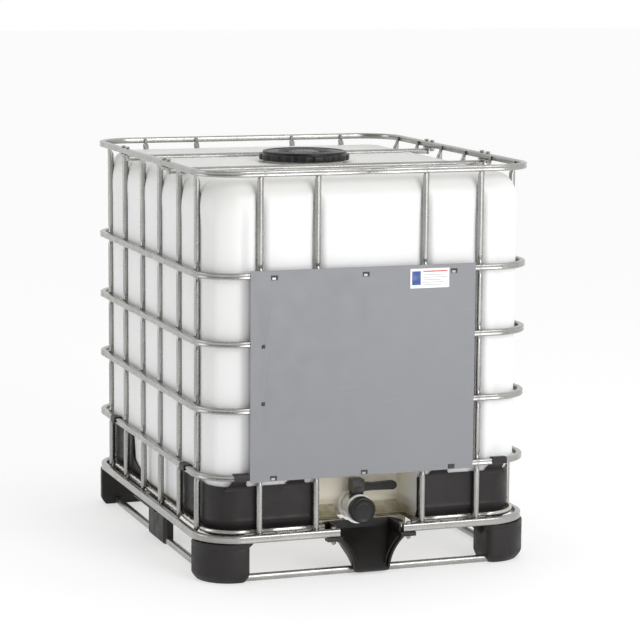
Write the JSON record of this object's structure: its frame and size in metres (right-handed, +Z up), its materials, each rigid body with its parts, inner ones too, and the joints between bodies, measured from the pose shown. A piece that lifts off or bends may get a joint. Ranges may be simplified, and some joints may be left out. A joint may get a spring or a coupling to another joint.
{
  "type": "intermediate bulk container",
  "caption": "Intermediate bulk container: translucent plastic bottle in a tubular steel cage on a steel and plastic pallet, with a screw lid, butterfly outlet valve and grey front plate.",
  "frame": {"origin": "on the floor, under the middle of the cage", "axes": "+Z up, the outlet valve faces -Y, +X to the right seen from the valve side"},
  "size_m": [1.0066, 1.2066, 1.1558],
  "materials": {
    "galvanised_steel": "galvanised, slightly streaked satin",
    "plate_paint": "satin grey paint",
    "black_plastic": "matt moulded polyethylene",
    "lid_plastic": "satin moulded polyethylene",
    "bottle_plastic": "milky blow-moulded polyethylene",
    "valve_plastic": "off-white moulded polyethylene",
    "seal_rubber": "dull"
  },
  "bodies": {
    "container": {"cage_ring_1": "galvanised_steel", "cage_ring_2": "galvanised_steel", "cage_ring_3": "galvanised_steel", "cage_ring_4": "galvanised_steel", "cage_ring_5": "galvanised_steel", "front_upright_1": "galvanised_steel", "front_upright_2": "galvanised_steel", "front_upright_3": "galvanised_steel", "front_upright_4": "galvanised_steel", "rear_upright_1": "galvanised_steel", "rear_upright_2": "galvanised_steel", "rear_upright_3": "galvanised_steel", "rear_upright_4": "galvanised_steel", "left_upright_1": "galvanised_steel", "left_upright_2": "galvanised_steel", "left_upright_3": "galvanised_steel", "left_upright_4": "galvanised_steel", "left_upright_5": "galvanised_steel", "left_upright_6": "galvanised_steel", "right_upright_1": "galvanised_steel", "right_upright_2": "galvanised_steel", "right_upright_3": "galvanised_steel", "right_upright_4": "galvanised_steel", "right_upright_5": "galvanised_steel", "right_upright_6": "galvanised_steel", "front_cross_bar": "galvanised_steel", "rear_cross_bar": "galvanised_steel", "front_bar_bracket_left": "galvanised_steel", "front_bar_bracket_right": "galvanised_steel", "rear_bar_bracket_left": "galvanised_steel", "rear_bar_bracket_right": "galvanised_steel", "pallet_ring": "galvanised_steel", "skid_ring": "galvanised_steel", "bottom_pan": "galvanised_steel", "support_beam_left": "galvanised_steel", "support_beam_right": "galvanised_steel", "guard_bolt_left": "galvanised_steel", "guard_bolt_right": "galvanised_steel", "front_left_foot": "black_plastic", "front_right_foot": "black_plastic", "rear_left_foot": "black_plastic", "rear_right_foot": "black_plastic", "left_mid_foot": "black_plastic", "right_mid_foot": "black_plastic", "rear_mid_foot": "black_plastic", "front_left_protector": "black_plastic", "front_right_protector": "black_plastic", "rear_left_protector": "black_plastic", "rear_right_protector": "black_plastic", "valve_guard": "black_plastic", "front_plate": "plate_paint", "bottle": "bottle_plastic", "valve_body": "valve_plastic", "valve_union_nut": "valve_plastic"},
    "lid_gasket": {"lid_seal": "seal_rubber"},
    "lid": {"fill_lid": "lid_plastic"},
    "lever": {"valve_lever": "lid_plastic", "valve_disc": "valve_plastic"},
    "cap_gasket": {"outlet_cap_seal": "seal_rubber"},
    "cap": {"outlet_cap": "lid_plastic"}
  },
  "joints": [
    {"name": "lid_lift", "type": "slide", "parent": "container", "child": "lid_gasket", "axis": [0, 0, 1], "range_m": [0, 0.3]},
    {"name": "lid_turn", "type": "hinge", "parent": "lid_gasket", "child": "lid", "pos_m": [0, 0, 1.138], "axis": [0, 0, 1], "range_deg": [0, 360]},
    {"name": "valve_turn", "type": "hinge", "parent": "container", "child": "lever", "pos_m": [0, -0.468, 0.2], "axis": [0, 0, -1], "range_deg": [0, 90]},
    {"name": "cap_pull", "type": "slide", "parent": "container", "child": "cap_gasket", "axis": [0, -1, 0], "range_m": [0, 0.12]},
    {"name": "cap_turn", "type": "hinge", "parent": "cap_gasket", "child": "cap", "pos_m": [0, -0.52, 0.167], "axis": [0, -1, 0], "range_deg": [0, 360]}
  ]
}
